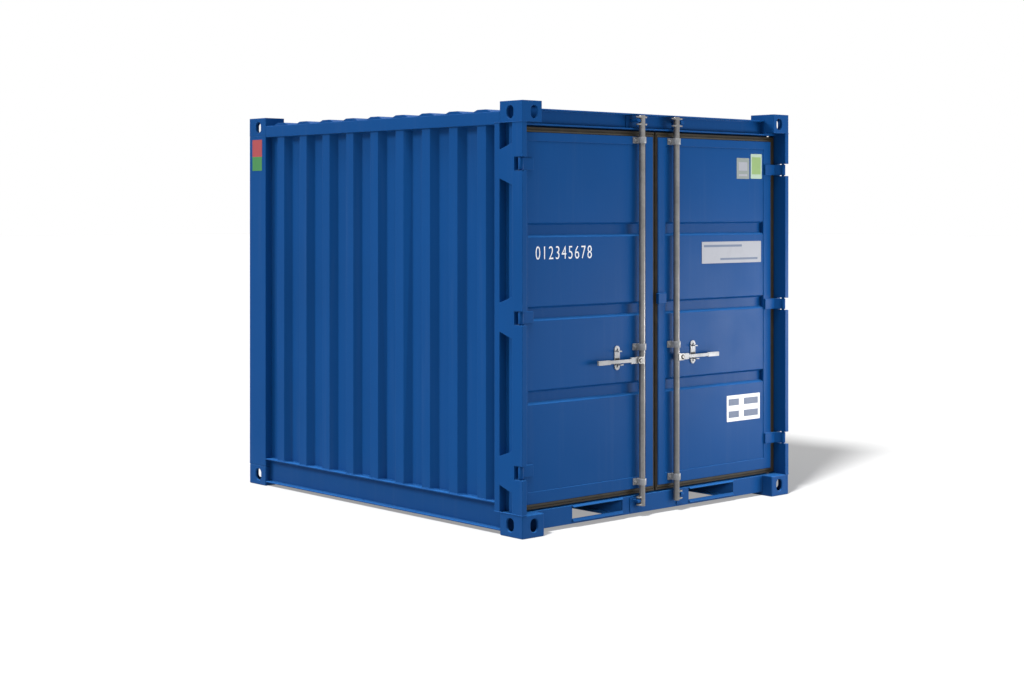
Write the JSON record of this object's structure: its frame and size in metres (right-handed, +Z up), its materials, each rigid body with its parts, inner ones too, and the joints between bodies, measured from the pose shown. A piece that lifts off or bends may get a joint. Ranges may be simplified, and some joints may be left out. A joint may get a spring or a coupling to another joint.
{
  "type": "storage container",
  "caption": "Steel storage container with corrugated walls, corner castings, fork pockets and hinged double doors locked by turning rods with swing handles.",
  "frame": {"origin": "ground level under the middle of the container", "axes": "+Z up, the doors face -Y, the length runs along Y from the doors to the rear wall, +X to the right seen from the doors' side"},
  "size_m": [2.2, 2.438, 2.26],
  "materials": {
    "blue_paint": "semi-gloss",
    "zinc": "galvanised",
    "seal_rubber": "matt",
    "floor_wood": "sealed plywood"
  },
  "bodies": {
    "frame": {"top_corner_castings": "blue_paint", "bottom_corner_castings": "blue_paint", "left_front_post": "blue_paint", "right_front_post": "blue_paint", "left_rear_post": "blue_paint", "right_rear_post": "blue_paint", "left_top_rail": "blue_paint", "right_top_rail": "blue_paint", "left_bottom_rail": "blue_paint", "right_bottom_rail": "blue_paint", "front_header": "blue_paint", "front_sill": "blue_paint", "rear_header": "blue_paint", "rear_sill": "blue_paint", "left_side_wall": "blue_paint", "right_side_wall": "blue_paint", "rear_wall": "blue_paint", "roof": "blue_paint", "floor_deck": "floor_wood", "floor_bearers": "blue_paint", "fork_pocket_plates": "blue_paint", "left_hinge_pins": "zinc", "right_hinge_pins": "zinc", "header_keepers": "blue_paint", "sill_keepers": "blue_paint"},
    "left_door": {"left_door_frame": "blue_paint", "left_door_panel": "blue_paint", "left_door_seal": "seal_rubber", "left_door_hinges": "blue_paint", "left_rod_guides": "zinc", "left_handle_catch": "zinc"},
    "right_door": {"right_door_frame": "blue_paint", "right_door_panel": "blue_paint", "right_door_seal": "seal_rubber", "right_door_hinges": "blue_paint", "right_rod_guides": "zinc", "right_handle_catch": "zinc", "seam_plate": "blue_paint"},
    "left_lock_rod": {"left_lock_rod": "zinc"},
    "right_lock_rod": {"right_lock_rod": "zinc"},
    "left_handle": {"left_handle": "zinc"},
    "right_handle": {"right_handle": "zinc"}
  },
  "joints": [
    {"name": "left_door_hinge", "type": "hinge", "parent": "frame", "child": "left_door", "pos_m": [-1.084, -1.191, 1.135], "axis": [0, 0, -1], "range_deg": [0, 265]},
    {"name": "left_rod_turn", "type": "hinge", "parent": "left_door", "child": "left_lock_rod", "pos_m": [-0.143, -1.1755, 0.868], "axis": [0, 0, -1], "range_deg": [-90, 0]},
    {"name": "left_handle_lift", "type": "hinge", "parent": "left_lock_rod", "child": "left_handle", "pos_m": [-0.175, -1.181, 0.868], "axis": [0, 1, 0], "range_deg": [0, 12]},
    {"name": "right_door_hinge", "type": "hinge", "parent": "frame", "child": "right_door", "pos_m": [1.084, -1.191, 1.135], "axis": [0, 0, 1], "range_deg": [0, 265]},
    {"name": "right_rod_turn", "type": "hinge", "parent": "right_door", "child": "right_lock_rod", "pos_m": [0.143, -1.1755, 0.868], "axis": [0, 0, 1], "range_deg": [-90, 0]},
    {"name": "right_handle_lift", "type": "hinge", "parent": "right_lock_rod", "child": "right_handle", "pos_m": [0.175, -1.181, 0.868], "axis": [0, -1, 0], "range_deg": [0, 12]}
  ]
}
